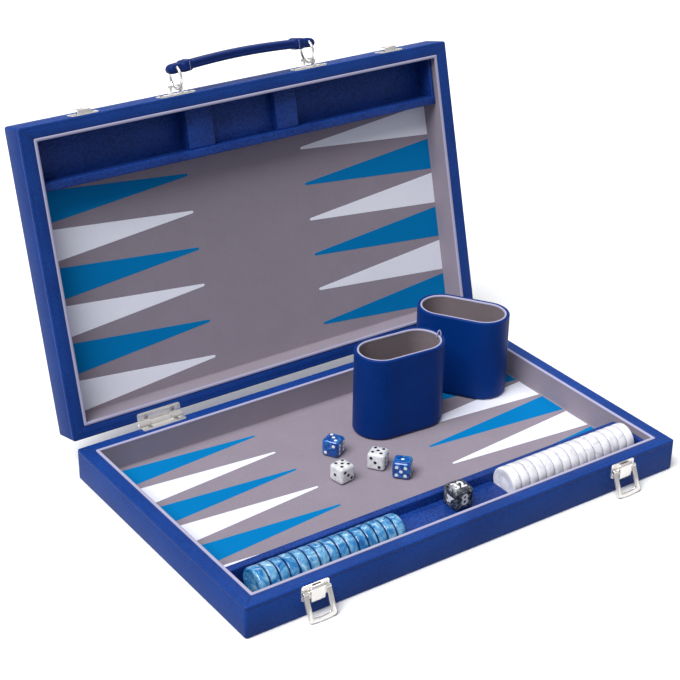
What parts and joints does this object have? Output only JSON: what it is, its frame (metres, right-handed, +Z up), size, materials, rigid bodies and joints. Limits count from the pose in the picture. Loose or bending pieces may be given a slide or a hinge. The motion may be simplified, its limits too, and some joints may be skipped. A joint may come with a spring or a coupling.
{
  "type": "backgammon set in a folding case",
  "caption": "Folding attaché-style backgammon case with hinged lid, trays, latches, carrying handle, round checkers, dice, doubling cube and dice cups.",
  "frame": {"origin": "centre of the base half's flat underside", "axes": "+X along the long edge, to the right seen from the latches; +Y from the latches to the hinges; +Z up"},
  "size_m": [0.381, 0.3332, 0.2812],
  "materials": {
    "case_leather": "pebble-grained faux leather, satin",
    "tray_leather": "coarse pebbled faux leather, satin",
    "cup_leather": "smooth faux leather, satin",
    "felt": "short matt felt",
    "nickel": "bright nickel plating",
    "blue_acrylic": "pearled acrylic, polished",
    "white_acrylic": "pearled acrylic, polished",
    "smoke_acrylic": "pearled dark acrylic, polished"
  },
  "bodies": {
    "base": {"base_frame": "case_leather", "base_bottom_panel": "case_leather", "base_lining": "felt", "checker_tray": "tray_leather", "hinge_base_leaf_left": "nickel", "hinge_base_leaf_right": "nickel", "latch_plate_left": "nickel", "latch_plate_right": "nickel"},
    "handle": {"handle_grip": "case_leather", "handle_ring_left": "nickel", "handle_ring_right": "nickel"},
    "latch_bail_left": {"latch_bail_left": "nickel"},
    "latch_bail_right": {"latch_bail_right": "nickel"},
    "lid": {"lid_frame": "case_leather", "lid_panel": "case_leather", "lid_lining": "felt", "lid_tray": "tray_leather", "hinge_lid_leaf_left": "nickel", "hinge_lid_leaf_right": "nickel", "catch_plate_left": "nickel", "catch_plate_right": "nickel", "handle_bracket_left": "nickel", "handle_bracket_right": "nickel"},
    "dice_cup_back": {"dice_cup_back": "cup_leather"},
    "dice_cup_front": {"dice_cup_front": "cup_leather"},
    "blue_die_1": {"blue_die_1": "blue_acrylic"},
    "blue_die_2": {"blue_die_2": "blue_acrylic"},
    "white_die_1": {"white_die_1": "white_acrylic"},
    "white_die_2": {"white_die_2": "white_acrylic"},
    "doubling_cube": {"doubling_cube": "smoke_acrylic"},
    "checker_blue_01": {"checker_blue_01": "blue_acrylic"},
    "checker_blue_02": {"checker_blue_02": "blue_acrylic"},
    "checker_blue_03": {"checker_blue_03": "blue_acrylic"},
    "checker_blue_04": {"checker_blue_04": "blue_acrylic"},
    "checker_blue_05": {"checker_blue_05": "blue_acrylic"},
    "checker_blue_06": {"checker_blue_06": "blue_acrylic"},
    "checker_blue_07": {"checker_blue_07": "blue_acrylic"},
    "checker_blue_08": {"checker_blue_08": "blue_acrylic"},
    "checker_blue_09": {"checker_blue_09": "blue_acrylic"},
    "checker_blue_10": {"checker_blue_10": "blue_acrylic"},
    "checker_blue_11": {"checker_blue_11": "blue_acrylic"},
    "checker_blue_12": {"checker_blue_12": "blue_acrylic"},
    "checker_blue_13": {"checker_blue_13": "blue_acrylic"},
    "checker_blue_14": {"checker_blue_14": "blue_acrylic"},
    "checker_blue_15": {"checker_blue_15": "blue_acrylic"},
    "checker_white_01": {"checker_white_01": "white_acrylic"},
    "checker_white_02": {"checker_white_02": "white_acrylic"},
    "checker_white_03": {"checker_white_03": "white_acrylic"},
    "checker_white_04": {"checker_white_04": "white_acrylic"},
    "checker_white_05": {"checker_white_05": "white_acrylic"},
    "checker_white_06": {"checker_white_06": "white_acrylic"},
    "checker_white_07": {"checker_white_07": "white_acrylic"},
    "checker_white_08": {"checker_white_08": "white_acrylic"},
    "checker_white_09": {"checker_white_09": "white_acrylic"},
    "checker_white_10": {"checker_white_10": "white_acrylic"},
    "checker_white_11": {"checker_white_11": "white_acrylic"},
    "checker_white_12": {"checker_white_12": "white_acrylic"},
    "checker_white_13": {"checker_white_13": "white_acrylic"},
    "checker_white_14": {"checker_white_14": "white_acrylic"},
    "checker_white_15": {"checker_white_15": "white_acrylic"}
  },
  "joints": [
    {"name": "handle_fold", "type": "hinge", "parent": "lid", "child": "handle", "pos_m": [0, 0.18848, 0.26737], "axis": [1, 0, 0], "range_deg": [-90, 90]},
    {"name": "latch_bail_left", "type": "hinge", "parent": "base", "child": "latch_bail_left", "pos_m": [-0.1368, -0.12, 0.0198], "axis": [-1, 0, 0], "range_deg": [0, 156]},
    {"name": "latch_bail_right", "type": "hinge", "parent": "base", "child": "latch_bail_right", "pos_m": [0.1368, -0.12, 0.0198], "axis": [-1, 0, 0], "range_deg": [0, 156]},
    {"name": "lid_hinge", "type": "hinge", "parent": "base", "child": "lid", "pos_m": [0, 0.1201, 0.0263], "axis": [-1, 0, 0], "range_deg": [-56, 75.6]},
    {"name": "lift_dice_cup_back", "type": "slide", "parent": "base", "child": "dice_cup_back", "axis": [0, 0, 1], "range_m": [0, 0.08]},
    {"name": "lift_dice_cup_front", "type": "slide", "parent": "base", "child": "dice_cup_front", "axis": [0, 0, 1], "range_m": [0, 0.08]},
    {"name": "lift_blue_die_1", "type": "slide", "parent": "base", "child": "blue_die_1", "axis": [0, 0, 1], "range_m": [0, 0.05]},
    {"name": "lift_blue_die_2", "type": "slide", "parent": "base", "child": "blue_die_2", "axis": [0, 0, 1], "range_m": [0, 0.05]},
    {"name": "lift_white_die_1", "type": "slide", "parent": "base", "child": "white_die_1", "axis": [0, 0, 1], "range_m": [0, 0.05]},
    {"name": "lift_white_die_2", "type": "slide", "parent": "base", "child": "white_die_2", "axis": [0, 0, 1], "range_m": [0, 0.05]},
    {"name": "lift_doubling_cube", "type": "slide", "parent": "base", "child": "doubling_cube", "axis": [0, 0, 1], "range_m": [0, 0.03]},
    {"name": "lift_checker_blue_01", "type": "slide", "parent": "base", "child": "checker_blue_01", "axis": [0, 0, 1], "range_m": [0, 0.03]},
    {"name": "lift_checker_blue_02", "type": "slide", "parent": "base", "child": "checker_blue_02", "axis": [0, 0, 1], "range_m": [0, 0.03]},
    {"name": "lift_checker_blue_03", "type": "slide", "parent": "base", "child": "checker_blue_03", "axis": [0, 0, 1], "range_m": [0, 0.03]},
    {"name": "lift_checker_blue_04", "type": "slide", "parent": "base", "child": "checker_blue_04", "axis": [0, 0, 1], "range_m": [0, 0.03]},
    {"name": "lift_checker_blue_05", "type": "slide", "parent": "base", "child": "checker_blue_05", "axis": [0, 0, 1], "range_m": [0, 0.03]},
    {"name": "lift_checker_blue_06", "type": "slide", "parent": "base", "child": "checker_blue_06", "axis": [0, 0, 1], "range_m": [0, 0.03]},
    {"name": "lift_checker_blue_07", "type": "slide", "parent": "base", "child": "checker_blue_07", "axis": [0, 0, 1], "range_m": [0, 0.03]},
    {"name": "lift_checker_blue_08", "type": "slide", "parent": "base", "child": "checker_blue_08", "axis": [0, 0, 1], "range_m": [0, 0.03]},
    {"name": "lift_checker_blue_09", "type": "slide", "parent": "base", "child": "checker_blue_09", "axis": [0, 0, 1], "range_m": [0, 0.03]},
    {"name": "lift_checker_blue_10", "type": "slide", "parent": "base", "child": "checker_blue_10", "axis": [0, 0, 1], "range_m": [0, 0.03]},
    {"name": "lift_checker_blue_11", "type": "slide", "parent": "base", "child": "checker_blue_11", "axis": [0, 0, 1], "range_m": [0, 0.03]},
    {"name": "lift_checker_blue_12", "type": "slide", "parent": "base", "child": "checker_blue_12", "axis": [0, 0, 1], "range_m": [0, 0.03]},
    {"name": "lift_checker_blue_13", "type": "slide", "parent": "base", "child": "checker_blue_13", "axis": [0, 0, 1], "range_m": [0, 0.03]},
    {"name": "lift_checker_blue_14", "type": "slide", "parent": "base", "child": "checker_blue_14", "axis": [0, 0, 1], "range_m": [0, 0.03]},
    {"name": "lift_checker_blue_15", "type": "slide", "parent": "base", "child": "checker_blue_15", "axis": [0, 0, 1], "range_m": [0, 0.03]},
    {"name": "lift_checker_white_01", "type": "slide", "parent": "base", "child": "checker_white_01", "axis": [0, 0, 1], "range_m": [0, 0.03]},
    {"name": "lift_checker_white_02", "type": "slide", "parent": "base", "child": "checker_white_02", "axis": [0, 0, 1], "range_m": [0, 0.03]},
    {"name": "lift_checker_white_03", "type": "slide", "parent": "base", "child": "checker_white_03", "axis": [0, 0, 1], "range_m": [0, 0.03]},
    {"name": "lift_checker_white_04", "type": "slide", "parent": "base", "child": "checker_white_04", "axis": [0, 0, 1], "range_m": [0, 0.03]},
    {"name": "lift_checker_white_05", "type": "slide", "parent": "base", "child": "checker_white_05", "axis": [0, 0, 1], "range_m": [0, 0.03]},
    {"name": "lift_checker_white_06", "type": "slide", "parent": "base", "child": "checker_white_06", "axis": [0, 0, 1], "range_m": [0, 0.03]},
    {"name": "lift_checker_white_07", "type": "slide", "parent": "base", "child": "checker_white_07", "axis": [0, 0, 1], "range_m": [0, 0.03]},
    {"name": "lift_checker_white_08", "type": "slide", "parent": "base", "child": "checker_white_08", "axis": [0, 0, 1], "range_m": [0, 0.03]},
    {"name": "lift_checker_white_09", "type": "slide", "parent": "base", "child": "checker_white_09", "axis": [0, 0, 1], "range_m": [0, 0.03]},
    {"name": "lift_checker_white_10", "type": "slide", "parent": "base", "child": "checker_white_10", "axis": [0, 0, 1], "range_m": [0, 0.03]},
    {"name": "lift_checker_white_11", "type": "slide", "parent": "base", "child": "checker_white_11", "axis": [0, 0, 1], "range_m": [0, 0.03]},
    {"name": "lift_checker_white_12", "type": "slide", "parent": "base", "child": "checker_white_12", "axis": [0, 0, 1], "range_m": [0, 0.03]},
    {"name": "lift_checker_white_13", "type": "slide", "parent": "base", "child": "checker_white_13", "axis": [0, 0, 1], "range_m": [0, 0.03]},
    {"name": "lift_checker_white_14", "type": "slide", "parent": "base", "child": "checker_white_14", "axis": [0, 0, 1], "range_m": [0, 0.03]},
    {"name": "lift_checker_white_15", "type": "slide", "parent": "base", "child": "checker_white_15", "axis": [0, 0, 1], "range_m": [0, 0.03]}
  ]
}
